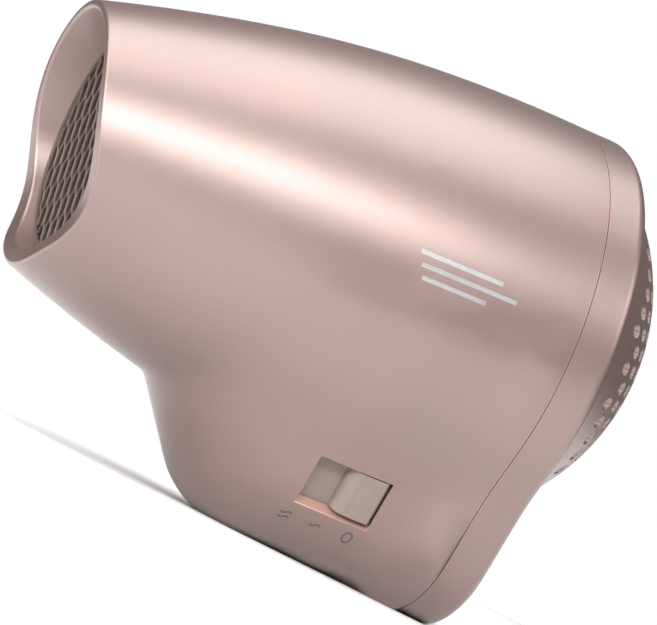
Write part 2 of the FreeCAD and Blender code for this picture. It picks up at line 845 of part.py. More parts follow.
VANE_COUNT = 7
duct_tube = turned(
    "duct_tube",
    [
        ("dims.duct_front_x", "dims.duct_radius - dims.duct_wall"),
        ("dims.duct_rear_x", "dims.duct_radius - dims.duct_wall"),
        ("dims.duct_rear_x", "dims.duct_radius"),
        ("dims.duct_flange_x + dims.duct_flange_thickness", "dims.duct_radius"),
        ("dims.duct_flange_x + dims.duct_flange_thickness", "dims.duct_flange_radius"),
        ("dims.duct_flange_x", "dims.duct_flange_radius"),
        ("dims.duct_flange_x", "dims.duct_radius"),
        ("dims.duct_front_x", "dims.duct_radius"),
    ],
)
motor_cup = turned(
    "motor_cup",
    tube_profile(
        "dims.motor_front_x + 1",
        "dims.motor_rear_x - 1",
        "dims.motor_radius + dims.motor_cup_wall",
        "dims.motor_radius + 0.05",
    ),
)
vanes = []
for index in range(VANE_COUNT):
    vane = box(
        f"stator_vane_{index}",
        "dims.stator_rear_x - dims.stator_front_x",
        "dims.duct_radius - dims.motor_radius - 1.5",
        "dims.stator_thickness",
    )
    turn = Rotation(AXIS_X, 360.0 * index / VANE_COUNT + 12.0)
    root = turn.multVec(Vector(0, size("motor_radius") + 0.7, -size("stator_thickness") / 2))
    vane.Placement = Placement(Vector(size("stator_front_x"), root.y, root.z), turn)
    vanes.append(vane)
keep(fuse("fan_duct_fused", [duct_tube, motor_cup] + vanes), "fan_duct")

# ---------------------------------------------------------------- motor

motor_can = turned(
    "can",
    [
        ("dims.motor_front_x", "dims.motor_radius - dims.motor_wall"),
        ("dims.motor_rear_x - dims.motor_wall", "dims.motor_radius - dims.motor_wall"),
        ("dims.motor_rear_x - dims.motor_wall", "dims.bearing_radius + 0.02"),
        ("dims.motor_rear_x", "dims.bearing_radius + 0.02"),
        ("dims.motor_rear_x", "dims.motor_radius"),
        ("dims.motor_front_x", "dims.motor_radius"),
    ],
)
keep(motor_can, "motor_can")

end_cap = turned(
    "end_cap",
    tube_profile(
        "dims.motor_front_x - dims.motor_cap_length",
        "dims.motor_front_x",
        "dims.motor_radius",
        "dims.bearing_radius + 0.02",
    ),
)
keep(end_cap, "motor_end_cap")

BEARING = ("dims.bearing_radius", "dims.shaft_radius + dims.running_gap")
for name, start in (
    ("shaft_bearing_front", "dims.motor_front_x - dims.bearing_length"),
    ("shaft_bearing_rear", "dims.motor_rear_x - dims.bearing_length + 0.8"),
):
    keep(turned(name + "_sleeve", tube_profile(start, f"{start} + dims.bearing_length", *BEARING)), name)

magnet_ring = turned(
    "magnet_ring",
    tube_profile(
        "dims.motor_rear_x - 2 - dims.magnet_length",
        "dims.motor_rear_x - 2",
        "dims.motor_radius - dims.motor_wall - 0.02",
        "dims.motor_radius - dims.motor_wall - 0.02 - dims.magnet_thickness",
    ),
)
magnet_gap = box("magnet_gap", "dims.magnet_length + 4", "5", "30")
place(magnet_gap, "dims.motor_rear_x - 4 - dims.magnet_length", "-2.5", "-15")
keep(cut("magnet_pair", magnet_ring, magnet_gap), "motor_magnets")

brushes = []
for side in ("-1", "1"):
    brush = box(f"brush_{'left' if side == '-1' else 'right'}", "2", "3.5", "2.4")
    centre = f"{side} * (dims.commutator_radius + 0.35 + 1.75) - 1.75"
    brushes.append(place(brush, "dims.motor_front_x + 0.3", centre, "-1.2"))
keep(fuse("brush_pair", brushes), "motor_brushes")

shaft = cylinder("shaft_rod", "dims.shaft_radius", "dims.shaft_rear_x - dims.shaft_front_x")
keep(place(shaft, "dims.shaft_front_x", rotation=TO_X), "motor_shaft")

core = turned(
    "core",
    tube_profile(
        "dims.rotor_x",
        "dims.rotor_x + dims.rotor_length",
        "dims.rotor_radius",
        "dims.shaft_radius",
    ),
)
SLOT_COUNT = 3
core_slots = []
for index in range(SLOT_COUNT):
    core_slot = box(f"core_slot_{index}", "dims.rotor_length + 2", "dims.rotor_radius", "3.4")
    turn = Rotation(AXIS_X, 360.0 * index / SLOT_COUNT)
    root = turn.multVec(Vector(0, 4.2, -1.7))
    core_slot.Placement = Placement(Vector(size("rotor_x") - 1, root.y, root.z), turn)
    core_slots.append(core_slot)
keep(cut("core_cut", core, fuse("core_slot_set", core_slots)), "rotor_core")

commutator = turned(
    "commutator_drum",
    tube_profile(
        "dims.rotor_x - 0.2 - dims.commutator_length",
        "dims.rotor_x - 0.2",
        "dims.commutator_radius",
        "dims.shaft_radius",
    ),
)
keep(commutator, "commutator")

# ---------------------------------------------------------------- impeller

BLADE_COUNT = 9
HUB = turned(
    "hub",
    [
        ("dims.hub_front_x", "dims.hub_radius - 1.4"),
        ("dims.hub_front_x + dims.hub_length - 5", "dims.hub_radius - 1.4"),
        ("dims.hub_front_x + dims.hub_length - 3", "dims.hub_radius - 5"),
        ("dims.hub_front_x + dims.hub_length - 3", "3"),
        ("dims.hub_front_x + 1.5", "3"),
        ("dims.hub_front_x + 1.5", "dims.shaft_radius"),
        ("dims.hub_front_x + dims.hub_length - 1.4", "dims.shaft_radius"),
        ("dims.hub_front_x + dims.hub_length - 1.4", "dims.hub_radius - 4.6"),
        ("dims.hub_front_x + dims.hub_length - 4", "dims.hub_radius"),
        ("dims.hub_front_x", "dims.hub_radius"),
    ],
)
doc.recompute()


def blade_section(radius, pitch_degrees):
    """A flat section of one blade, at one radius, turned by its pitch."""
    chord = size("blade_chord") / 2
    thick = size("blade_thickness") / 2
    turn = Rotation(AXIS_Z, pitch_degrees)
    centre = Vector(size("hub_front_x") + size("hub_length") / 2 - 0.5, 0, radius)
    corners = [(-chord, -thick), (chord, -thick), (chord, thick), (-chord, thick)]
    spots = [centre + turn.multVec(Vector(x, y, 0)) for x, y in corners]
    return Part.makePolygon(spots + spots[:1])


def impeller():
    sections = [
        blade_section(size("hub_radius") - 1.0, 42.0),
        blade_section((size("hub_radius") + size("blade_radius")) / 2, 53.0),
        blade_section(size("blade_radius") + 1.5, 60.0),
    ]
    blade = Part.makeLoft(sections, True, False)
    sweep_front = size("hub_front_x") - 2.0
    trim = Part.makeCylinder(size("blade_radius"), 40.0, Vector(sweep_front, 0, 0), AXIS_X)
    blade = blade.common(trim)
    blades = []
    for index in range(BLADE_COUNT):
        copy = blade.copy()
        copy.rotate(Vector(0, 0, 0), AXIS_X, 360.0 * index / BLADE_COUNT)
        blades.append(copy)
    return HUB.Shape.fuse(blades).removeSplitter()


keep_shape(impeller(), "impeller")
doc.removeObject(HUB.Name)

# ---------------------------------------------------------------- electrical parts

rectifier = turned(
    "rectifier_disc",
    tube_profile(
        "dims.rectifier_x",
        "dims.rectifier_x + dims.rectifier_thickness",
        "dims.rectifier_radius",
        "dims.bearing_radius",
    ),
)
keep(rectifier, "rectifier_board")

diodes = []
for index, (y, z) in enumerate(((-6.5, 3.5), (-6.5, -3.5), (6.5, 3.5), (6.5, -3.5))):
    diode = box(f"diode_{index}", "1.8", "3", "2")
    diodes.append(place(diode, "dims.rectifier_x - 1.8", f"{y} - 1.5", f"{z} - 1"))
keep(fuse("diode_set", diodes), "rectifier_diodes")

terminals = []
for side in (-1, 1):
    blade_strip = box(f"motor_terminal_{'left' if side < 0 else 'right'}", "2.2", "2.4", "0.5")
    terminals.append(place(blade_strip, "dims.rectifier_x + 1.2", f"{8.4 * side} - 1.2", "-0.25"))
keep(fuse("motor_terminal_pair", terminals), "motor_terminals")

capacitor = box("capacitor_block", "2.2", "5", "2.6")
keep(place(capacitor, "dims.rectifier_x - 2.2", "-2.5", "5.4"), "noise_capacitor")

# ---------------------------------------------------------------- intake filter


def intake_filter():
    start = Vector(size("filter_x"), 0, 0)
    thickness = size("filter_thickness")
    reach = size("filter_radius")
    rim = Part.makeCylinder(reach, thickness, start, AXIS_X)
    rim = rim.cut(Part.makeCylinder(reach - 2.0, thickness, start, AXIS_X))
    pitch = size("filter_pitch")
    number = int(reach / pitch)
    bars = []
    for index in range(-number, number + 1):
        offset = index * pitch
        half = math.sqrt((reach - 1.0) ** 2 - offset ** 2)
        corner = Vector(size("filter_x") + 0.3, -half, offset - 0.2)
        bars.append(Part.makeBox(0.4, 2 * half, 0.4, corner))
        corner = Vector(size("filter_x") + 0.3, offset - 0.2, -half)
        bars.append(Part.makeBox(0.4, 0.4, 2 * half, corner))
    return rim.fuse(bars).removeSplitter()


keep_shape(intake_filter(), "intake_filter")

# ---------------------------------------------------------------- slide switch


def knob_shape():
    """The thumb piece: a rounded hump on the plate that closes the rest of the window."""
    half_window = size("window_width") / 2
    gap = size("knob_gap")
    right = half_window - gap
    left = right - size("knob_width")
    top = -size("knob_rise")
    plate_top = size("window_rim_depth") + 0.3
    plate_low = plate_top + size("shutter_thickness")
    half_rise = size("window_height") / 2 - gap
    corners = [
        Vector(left, plate_low, -half_rise),
        Vector(left, plate_top - 0.2, -half_rise),
        Vector(left + 3.4, top + 0.25, -half_rise),
        Vector(right - 0.6, top + 0.1, -half_rise),
        Vector(right, top + 0.7, -half_rise),
        Vector(right, plate_low, -half_rise),
    ]
    round_left = Vector(left + 0.85, top + 1.15, -half_rise)
    crown = Vector((left + right) / 2 + 1.4, top, -half_rise)
    outline = Part.Wire([
        Part.LineSegment(corners[0], corners[1]).toShape(),
        Part.Arc(corners[1], round_left, corners[2]).toShape(),
        Part.Arc(corners[2], crown, corners[3]).toShape(),
        Part.LineSegment(corners[3], corners[4]).toShape(),
        Part.LineSegment(corners[4], corners[5]).toShape(),
        Part.LineSegment(corners[5], corners[0]).toShape(),
    ])
    hump = Part.Face(outline).extrude(Vector(0, 0, 2 * half_rise))
    overlap = size("shutter_overlap")
    plate_rise = size("window_height") / 2 + overlap
    length = 2 * half_window + 2 * overlap + size("switch_travel")
    plate = Part.makeBox(
        length,
        plate_low - plate_top,
        2 * plate_rise,
        Vector(-half_window - overlap, plate_top, -plate_rise),
    )
    return in_switch_frame(hump.fuse(plate).removeSplitter())


keep_shape(knob_shape(), "switch_knob")

TOP = "dims.switch_case_top"
CASE_HALF = "dims.switch_case_width / 2"
CASE_LOW = "dims.switch_case_top + dims.switch_case_depth"
RISE = "dims.switch_case_height / 2"
case_block = switch_box("case_block", (f"-{CASE_HALF}", CASE_HALF), (TOP, CASE_LOW), (f"-{RISE}", RISE))
ears = switch_box("case_ears", ("-3.4", "3.4"), (TOP, f"{TOP} + 1.4"), ("-11.6", "11.6"))
cavity = switch_box(
    "case_cavity",
    (f"1.2 - {CASE_HALF}", f"{CASE_HALF} - 1.2"),
    (f"{TOP} + 1", f"{CASE_LOW} - 1.2"),
    (f"1.2 - {RISE}", f"{RISE} - 1.2"),
)
stem_slot = switch_box("case_slot", ("-9", "8.8"), (f"{TOP} - 1", f"{TOP} + 2"), ("-1.7", "1.7"))
ear_holes = []
for index, rise in enumerate(("-dims.switch_post_offset", "dims.switch_post_offset")):
    hole = cylinder(f"ear_hole_{index}", "dims.switch_screw_radius + 0.1", "6")
    spot = Placement(Vector(0, value(TOP) - 2, value(rise)), Rotation(AXIS_Z, AXIS_Y))
    hole.Placement = SWITCH_FRAME.multiply(spot)
    ear_holes.append(hole)
case_tools = fuse("case_tools", [cavity, stem_slot] + ear_holes)
case_whole = fuse("case_whole", [case_block, ears])
keep(cut("case_cut", case_whole, case_tools), "switch_case")

case_screws = []
for index, rise in enumerate(("-dims.switch_post_offset", "dims.switch_post_offset")):
    turn = Rotation(AXIS_Z, AXIS_Y)
    stem = cylinder(f"case_screw_stem_{index}", "dims.switch_screw_radius - 0.02", "5")
    stem.Placement = SWITCH_FRAME.multiply(Placement(Vector(0, value(TOP) - 3.4, value(rise)), turn))
    cap = cylinder(f"case_screw_cap_{index}", "dims.switch_screw_radius * 2", "1.3")
    cap.Placement = SWITCH_FRAME.multiply(Placement(Vector(0, value(TOP) + 1.4, value(rise)), turn))
    case_screws += [stem, cap]
keep(fuse("case_screw_pair", case_screws), "switch_screws")

HEAD = ("dims.window_width / 2 - dims.knob_gap - dims.knob_width", "dims.window_width / 2 - dims.knob_gap")
PLATE_LOW = "dims.window_rim_depth + 0.3 + dims.shutter_thickness"
carriage_head = switch_box("carriage_head", HEAD, (f"{TOP} + 1.4", f"{TOP} + 3.4"), ("-4.4", "4.4"))
carriage_stem = switch_box("carriage_stem", ("1.6", "5.6"), (PLATE_LOW, f"{TOP} + 1.5"), ("-1.3", "1.3"))
keep(fuse("carriage_fused", [carriage_head, carriage_stem]), "switch_carriage")

bridge = switch_box("bridge_strip", ("0", "7.6"), (f"{TOP} + 3.4", f"{TOP} + 3.9"), ("-3.4", "3.4"))
keep(bridge, "bridge_contact")

contacts = []
for index, x in enumerate((-6.2, 0.8, 6.6)):
    tongue = switch_box(
        f"contact_{index}", (f"{x} - 1", f"{x} + 1"), (f"{TOP} + 4.4", f"{CASE_LOW} - 1.2"), ("-3", "3")
    )
    tag_depth = (f"{CASE_LOW} - 1.3", f"{CASE_LOW} + 4")
    tag = switch_box(f"tag_{index}", (f"{x} - 0.4", f"{x} + 0.4"), tag_depth, ("-1.5", "1.5"))
    contacts += [tongue, tag]
keep(fuse("contact_set", contacts), "fixed_contacts")

# ---------------------------------------------------------------- cord inlet and leads


def cord_inlet_bush():
    """A rubber bush set in the base; the cord itself is not part of the model."""
    x = size("inlet_x")
    radius = size("inlet_bush_radius") - 0.05
    length = size("inlet_bush_length")
    normal = base_normal()
    bush = Part.makeCylinder(radius, length, base_point(x, 0.3), normal)
    collar = Part.makeCylinder(radius + 1.8, 2.0, base_point(x, size("wall") + 0.4), normal)
    bore = Part.makeCylinder(size("inlet_bore_radius"), length + 4.0, base_point(x, -2.0), normal)
    return bush.fuse(collar).cut(bore).removeSplitter()


keep_shape(cord_inlet_bush(), "cord_inlet_bush")


def lead(points, radius):
    """An insulated lead bent smoothly through the given points."""
    path = Part.BSplineCurve()
    path.interpolate(points)
    spine = Part.Wire([path.toShape()])
    heading = path.tangent(path.FirstParameter)[0]
    section = Part.Wire([Part.Circle(points[0], heading, radius).toShape()])
    return spine.makePipeShell([section], True, True)


def switch_point(x, depth, rise):
    return SWITCH_FRAME.multVec(Vector(x, depth, rise))


inlet_top = base_point(size("inlet_x"), size("inlet_bush_length") + 1.5)
first_lead = [
    inlet_top + Vector(0, -1.2, 0),
    inlet_top + Vector(1.0, 3.0, 6.0),
    switch_point(6.6, 22.0, -3.0),
    switch_point(6.6, 18.6, -0.4),
]
keep_shape(lead(first_lead, 1.0), "mains_lead")
second_lead = [
    switch_point(-6.2, 18.6, 0.0),
    Vector(-39.0, -5.0, -40.0),
    Vector(-46.0, 0.0, -36.0),
    Vector(-50.0, 3.0, -28.5),
]
keep_shape(lead(second_lead, 1.0), "heater_lead")

# ---------------------------------------------------------------- check and write

doc.recompute()
for obj in doc.Objects:
    if "Invalid" in obj.State or "Error" in obj.State:
        raise RuntimeError(f"{obj.Label} did not build: {obj.State}")
os.makedirs("parts", exist_ok=True)
for obj in pieces:
    if obj.Shape.isNull() or not obj.Shape.isValid():
        raise RuntimeError(f"{obj.Label} has a broken shape")
    obj.Shape.exportStep(f"parts/{obj.Label}.step")
print(len(pieces), "pieces written")
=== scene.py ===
import json
import math

import bmesh
import bpy
from mathutils import Matrix, Vector
from mathutils.bvhtree import BVHTree


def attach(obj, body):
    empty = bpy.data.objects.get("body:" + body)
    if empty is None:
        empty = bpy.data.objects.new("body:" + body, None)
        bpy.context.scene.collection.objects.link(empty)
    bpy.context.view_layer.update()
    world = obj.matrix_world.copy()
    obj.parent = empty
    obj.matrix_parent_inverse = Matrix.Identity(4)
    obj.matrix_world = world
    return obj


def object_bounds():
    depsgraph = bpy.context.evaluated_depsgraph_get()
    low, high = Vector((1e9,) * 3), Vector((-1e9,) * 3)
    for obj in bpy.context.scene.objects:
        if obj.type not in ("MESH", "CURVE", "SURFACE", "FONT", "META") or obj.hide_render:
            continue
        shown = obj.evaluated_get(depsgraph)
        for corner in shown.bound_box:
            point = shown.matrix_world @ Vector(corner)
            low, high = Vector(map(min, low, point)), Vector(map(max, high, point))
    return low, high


# Compact pearl hair dryer standing on the flat of its stub, in a plain white studio.

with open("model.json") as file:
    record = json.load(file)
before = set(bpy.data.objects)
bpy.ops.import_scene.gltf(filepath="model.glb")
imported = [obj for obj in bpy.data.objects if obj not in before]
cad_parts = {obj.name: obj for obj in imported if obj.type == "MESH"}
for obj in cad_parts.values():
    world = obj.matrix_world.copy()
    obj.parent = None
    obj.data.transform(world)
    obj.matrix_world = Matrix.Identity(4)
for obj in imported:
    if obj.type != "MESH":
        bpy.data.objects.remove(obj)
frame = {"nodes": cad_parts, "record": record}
cad_low, cad_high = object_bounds()
nodes = frame["nodes"]

MM = 0.001

# The barrel frame: origin on the barrel axis at the parting line, -X to the outlet.
BASE_TILT = math.radians(5.1)
BASE_DROP = 63.95 * MM
PARTING_X = 39.1 * MM
STAND_PLACE = Matrix.Translation((PARTING_X, 0.0, BASE_DROP * math.cos(BASE_TILT)))
STAND = STAND_PLACE @ Matrix.Rotation(-BASE_TILT, 4, "Y")
BARREL_AXIS = STAND.to_3x3() @ Vector((1.0, 0.0, 0.0))
WINDOW_MIDDLE = STAND @ (Vector((-26.6, -25.55, -44.15)) * MM)
FLANK_TILT = math.radians(21.0)
FLANK = (STAND @ Matrix.Rotation(FLANK_TILT, 4, "X")).to_3x3()
WINDOW_RISE = FLANK @ Vector((0.0, 0.0, 1.0))
WINDOW_INWARD = FLANK @ Vector((0.0, 1.0, 0.0))
# In millimetres, in the window's frame or along the barrel.
# Bands of the switch window; the lower wall (the sill) gets a painted highlight.
WINDOW_HALF_WIDTH = 8.2
SILL_MIDDLE, SILL_HALF = -5.85, 0.60
WALL_REACH = 5.0
EDGE_FADE = 0.05
# Band about the parting line where the gap is painted a warm light colour.
PARTING_MIDDLE = 0.09
PARTING_FULL, PARTING_NONE = 0.10, 0.30
# Front of the grille, where its edge is painted light.
GRILLE_FRONT = -96.8
GRILLE_EDGE_FULL, GRILLE_EDGE_NONE = 0.08, 0.45


# ---------------------------------------------------------------- materials


class Recipe:
    """A small helper that strings shader nodes together."""

    def __init__(self, name):
        self.material = bpy.data.materials.new(name)
        self.material.use_nodes = True
        self.tree = self.material.node_tree
        self.shader = self.tree.nodes["Principled BSDF"]

    def node(self, kind, inputs=None, **settings):
        made = self.tree.nodes.new(kind)
        for key, value in settings.items():
            setattr(made, key, value)
        for key, value in (inputs or {}).items():
            self.feed(made.inputs[key], value)
        return made

    def feed(self, socket, value):
        if isinstance(value, bpy.types.NodeSocket):
            self.tree.links.new(value, socket)
        else:
            socket.default_value = value

    def set(self, **values):
        for key, value in values.items():
            self.feed(self.shader.inputs[key.replace("_", " ")], value)

    def coords(self):
        return self.node("ShaderNodeTexCoord").outputs["Object"]

    def noise(self, scale, detail=2.0, roughness=0.5, vector=None):
        made = self.node(
            "ShaderNodeTexNoise",
            {"Scale": scale, "Detail": detail, "Roughness": roughness},
        )
        self.feed(made.inputs["Vector"], vector or self.coords())
        return made.outputs["Fac"]

    def ramp(self, factor, stops):
        made = self.node("ShaderNodeValToRGB", {"Fac": factor})
        ramp = made.color_ramp
        while len(ramp.elements) < len(stops):
            ramp.elements.new(0.5)
        for element, (position, colour) in zip(ramp.elements, stops):
            element.position = position
            element.color = (*colour, 1.0)
        return made.outputs["Color"]

    def span(self, factor, low, high):
        made = self.node(
            "ShaderNodeMapRange", {"Value": factor, "To Min": low, "To Max": high}
        )
        return made.outputs["Result"]

    def near(self, origin, axis, station, full, none):
        """One within full of this station along an axis, nought beyond none, in millimetres."""
        along = self.node(
            "ShaderNodeVectorMath", {0: self.coords(), 1: axis}, operation="DOT_PRODUCT"
        )
        middle = origin.dot(axis) + station * MM
        away = self.node(
            "ShaderNodeMath", {0: along.outputs["Value"], 1: middle}, operation="SUBTRACT"
        )
        size = self.node("ShaderNodeMath", {0: away.outputs[0]}, operation="ABSOLUTE")
        fade = self.node(
            "ShaderNodeMapRange",
            {
                "Value": size.outputs[0],
                "From Min": full * MM,
                "From Max": none * MM,
                "To Min": 1.0,
                "To Max": 0.0,
            },
        )
        return fade.outputs["Result"]

    def near_station(self, station, full, none):
        return self.near(STAND.translation, BARREL_AXIS, station, full, none)

    def blend(self, factor, low, high):
        made = self.node("ShaderNodeMix", {"Factor": factor}, data_type="RGBA")
        self.feed(made.inputs[6], low)
        self.feed(made.inputs[7], high)
        return made.outputs[2]

    def bump(self, height, strength, distance):
        made = self.node(
            "ShaderNodeBump", {"Height": height, "Strength": strength, "Distance": distance}
        )
        self.set(Normal=made.outputs["Normal"])


PAINT_DARK, PAINT_LIGHT = (0.150, 0.070, 0.055), (0.166, 0.079, 0.063)
FLAKE_DARK, FLAKE_LIGHT = (0.93, 0.92, 0.92), (1.05, 1.05, 1.05)
# Painted light: the parting gap is given a warm brown lighter than the paint, so it reads as a
# thin lit line rather than a dark gap.
PARTING_GAP_PAINTED_LIGHT = (0.30, 0.12, 0.09, 1.0)
# Painted highlight: the lower wall of the switch window is painted a light pink, as if lit from
# above.
SILL_PAINTED_HIGHLIGHT = (0.62, 0.38, 0.31, 1.0)


def pearl_paint_and_painted_light():
    """Satin pearl paint with fine flakes, painted light in the parting gap (a warm brown lighter
    than the paint) and a painted highlight on the window sill.
    """
    r = Recipe("pearl_paint_and_painted_light")
    broad = r.noise(45.0, 3.0)
    flake = r.node(
        "ShaderNodeTexVoronoi", {"Scale": 9000.0, "Vector": r.coords()}, feature="F1"
    )
    speck = r.node("ShaderNodeSeparateColor", {"Color": flake.outputs["Color"]})
    base = r.ramp(broad, [(0.3, PAINT_DARK), (0.7, PAINT_LIGHT)])
    bright = r.ramp(speck.outputs["Red"], [(0.0, FLAKE_DARK), (1.0, FLAKE_LIGHT)])
    mixed = r.node("ShaderNodeMix", {"Factor": 1.0}, data_type="RGBA", blend_type="MULTIPLY")
    r.feed(mixed.inputs[6], base)
    r.feed(mixed.inputs[7], bright)
    # Painted light in the parting gap: a band about the parting line takes a warm brown lighter
    # than the paint, where the gap would fall into shade.
    gap_light_mask = r.near_station(PARTING_MIDDLE, PARTING_FULL, PARTING_NONE)
    with_gap_light = r.blend(gap_light_mask, mixed.outputs[2], PARTING_GAP_PAINTED_LIGHT)
    # Painted highlight on the window sill: a band on the lower wall inside the switch window
    # takes the light pink.
    over = r.near(
        WINDOW_MIDDLE, BARREL_AXIS, 0.0, WINDOW_HALF_WIDTH, WINDOW_HALF_WIDTH + EDGE_FADE
    )
    under = r.near(WINDOW_MIDDLE, WINDOW_RISE, SILL_MIDDLE, SILL_HALF, SILL_HALF + EDGE_FADE)
    inside = r.near(WINDOW_MIDDLE, WINDOW_INWARD, 0.0, WALL_REACH, WALL_REACH + EDGE_FADE)
    edge = r.node("ShaderNodeMath", {0: over, 1: under}, operation="MULTIPLY").outputs[0]
    sill = r.node("ShaderNodeMath", {0: edge, 1: inside}, operation="MULTIPLY").outputs[0]
    r.set(
        Base_Color=r.blend(sill, with_gap_light, SILL_PAINTED_HIGHLIGHT),
        Metallic=0.6,
        Roughness=r.span(r.noise(900.0, 2.0), 0.35, 0.43),
    )
    r.shader.inputs["Coat Weight"].default_value = 1.0
    r.shader.inputs["Coat IOR"].default_value = 2.1
    r.shader.inputs["Coat Roughness"].default_value = 0.41
    r.bump(speck.outputs["Green"], 0.05, 0.00005)
    return r.material


def plastic(name, dark, light, roughness, grain=600.0, depth=0.15, subsurface=0.0):
    """Moulded plastic with a fine grain and a slow drift of tone."""
    r = Recipe(name)
    r.set(
        Base_Color=r.ramp(r.noise(60.0, 4.0), [(0.3, dark), (0.7, light)]),
        Roughness=r.span(r.noise(grain, 3.0), roughness - 0.06, roughness + 0.06),
    )
    if subsurface:
        r.shader.inputs["Subsurface Weight"].default_value = subsurface
        r.shader.inputs["Subsurface Scale"].default_value = 0.0015
    r.bump(r.noise(grain * 2.5, 2.0), depth, 0.00008)
    return r.material


BRUSH_STRETCH = (1.0, 1.0, 12.0)
BRUSH_SCALE = 900.0


def metal(name, dark, light, roughness):
    """Metal with a fine grain drawn out along one direction."""
    r = Recipe(name)
    mapped = r.node("ShaderNodeMapping", {"Vector": r.coords(), "Scale": BRUSH_STRETCH})
    brushed = r.noise(BRUSH_SCALE, 3.0, 0.6, mapped.outputs["Vector"])
    r.set(
        Base_Color=r.ramp(brushed, [(0.3, dark), (0.7, light)]),
        Metallic=1.0,
        Roughness=r.span(brushed, roughness - 0.08, roughness + 0.1),
    )
    r.bump(brushed, 0.12, 0.00005)
    return r.material


def tinted_strip_lit_and_shaded():
    """Thin tinted strip with painted light and shade: the front edge of each strip is painted
    bright as if lit, the inner faces of the cells painted dark as shade.
    """
    r = Recipe("tinted_strip_lit_and_shaded")
    grain = r.noise(1400.0, 3.0, 0.6)
    # Lit and shaded copies of one tint: the cell wall colour is painted shade, the front edge
    # colour painted light.
    shaded_walls = r.ramp(grain, [(0.3, (0.050, 0.036, 0.028)), (0.7, (0.085, 0.062, 0.048))])
    lit_edges = r.ramp(grain, [(0.3, (0.20, 0.150, 0.132)), (0.7, (0.27, 0.21, 0.185))])
    front = r.near_station(GRILLE_FRONT, GRILLE_EDGE_FULL, GRILLE_EDGE_NONE)
    r.set(
        Base_Color=r.blend(front, shaded_walls, lit_edges),
        Metallic=0.6,
        Roughness=r.span(grain, 0.4, 0.55),
    )
    r.bump(grain, 0.12, 0.00005)
    return r.material


def mica_sheet():
    """Pressed mica: flat flakes of slightly different tone and gloss."""
    r = Recipe("mica_sheet")
    flakes = r.node("ShaderNodeTexVoronoi", {"Scale": 420.0, "Vector": r.coords()})
    tone = r.node("ShaderNodeSeparateColor", {"Color": flakes.outputs["Color"]})
    r.set(
        Base_Color=r.ramp(
            tone.outputs["Red"], [(0.0, (0.42, 0.33, 0.20)), (1.0, (0.62, 0.52, 0.36))]
        ),
        Roughness=r.span(tone.outputs["Green"], 0.35, 0.6),
    )
    r.bump(flakes.outputs["Distance"], 0.2, 0.0001)
    return r.material


MATERIALS = {
    "shell_paint": pearl_paint_and_painted_light(),
    "knob_plastic": plastic(
        "knob_plastic", (0.185, 0.142, 0.124), (0.215, 0.168, 0.148), 0.5, 500.0, 0.08, 0.15
    ),
    "steel": metal("bright_steel", (0.42, 0.42, 0.43), (0.62, 0.62, 0.63), 0.3),
    "grille_metal": tinted_strip_lit_and_shaded(),
    "mica": mica_sheet(),
    "white_plastic": plastic("white_moulding", (0.70, 0.68, 0.63), (0.78, 0.76, 0.72), 0.5),
    "black_plastic": plastic("black_moulding", (0.018, 0.018, 0.02), (0.035, 0.035, 0.037), 0.5),
    "heating_wire": metal("oxidised_wire", (0.10, 0.09, 0.09), (0.24, 0.22, 0.21), 0.5),
    "aluminium": metal("satin_aluminium", (0.60, 0.60, 0.62), (0.78, 0.78, 0.80), 0.35),
    "brass": metal("satin_brass", (0.55, 0.38, 0.14), (0.78, 0.58, 0.26), 0.32),
    "magnet": plastic(
        "sintered_grey", (0.035, 0.035, 0.04), (0.07, 0.07, 0.075), 0.65, 900.0, 0.3
    ),
    "brown_ceramic": plastic("brown_glaze", (0.20, 0.07, 0.02), (0.30, 0.11, 0.04), 0.22),
    "black_rubber": plastic("black_rubber", (0.012, 0.012, 0.012), (0.03, 0.03, 0.03), 0.75),
    "lead_sheath": plastic("silicone_sheath", (0.52, 0.50, 0.46), (0.62, 0.60, 0.56), 0.55),
}

for row in frame["record"]["subparts"]:
    mesh = nodes[row["node"]].data
    mesh.materials.clear()
    mesh.materials.append(MATERIALS[row["material_slot"]])

# ---------------------------------------------------------------- printed marks

housing = nodes["front_housing"]
skin_mesh = bmesh.new()
skin_mesh.from_mesh(housing.data)
skin_mesh.transform(housing.matrix_world)
skin = BVHTree.FromBMesh(skin_mesh)
skin_mesh.free()
ACROSS = STAND.to_3x3() @ Vector((0.0, 1.0, 0.0))


# In millimetres: the longest run between two rings of a stroke, and how far the ink lies
# above and reaches below the paint.
STROKE_STEP = 0.35
INK_ABOVE, INK_BELOW = 0.03, -0.02
CORNERS = ((-1, INK_ABOVE), (1, INK_ABOVE), (1, INK_BELOW), (-1, INK_BELOW))
PROBE_Y = -0.1


def on_skin(x, z, lift):
    """The skin of the switch side at barrel x, z in millimetres, lifted along its normal."""
    place, normal, _, _ = skin.ray_cast(STAND @ Vector((x * MM, PROBE_Y, z * MM)), ACROSS)
    return place + normal * lift * MM


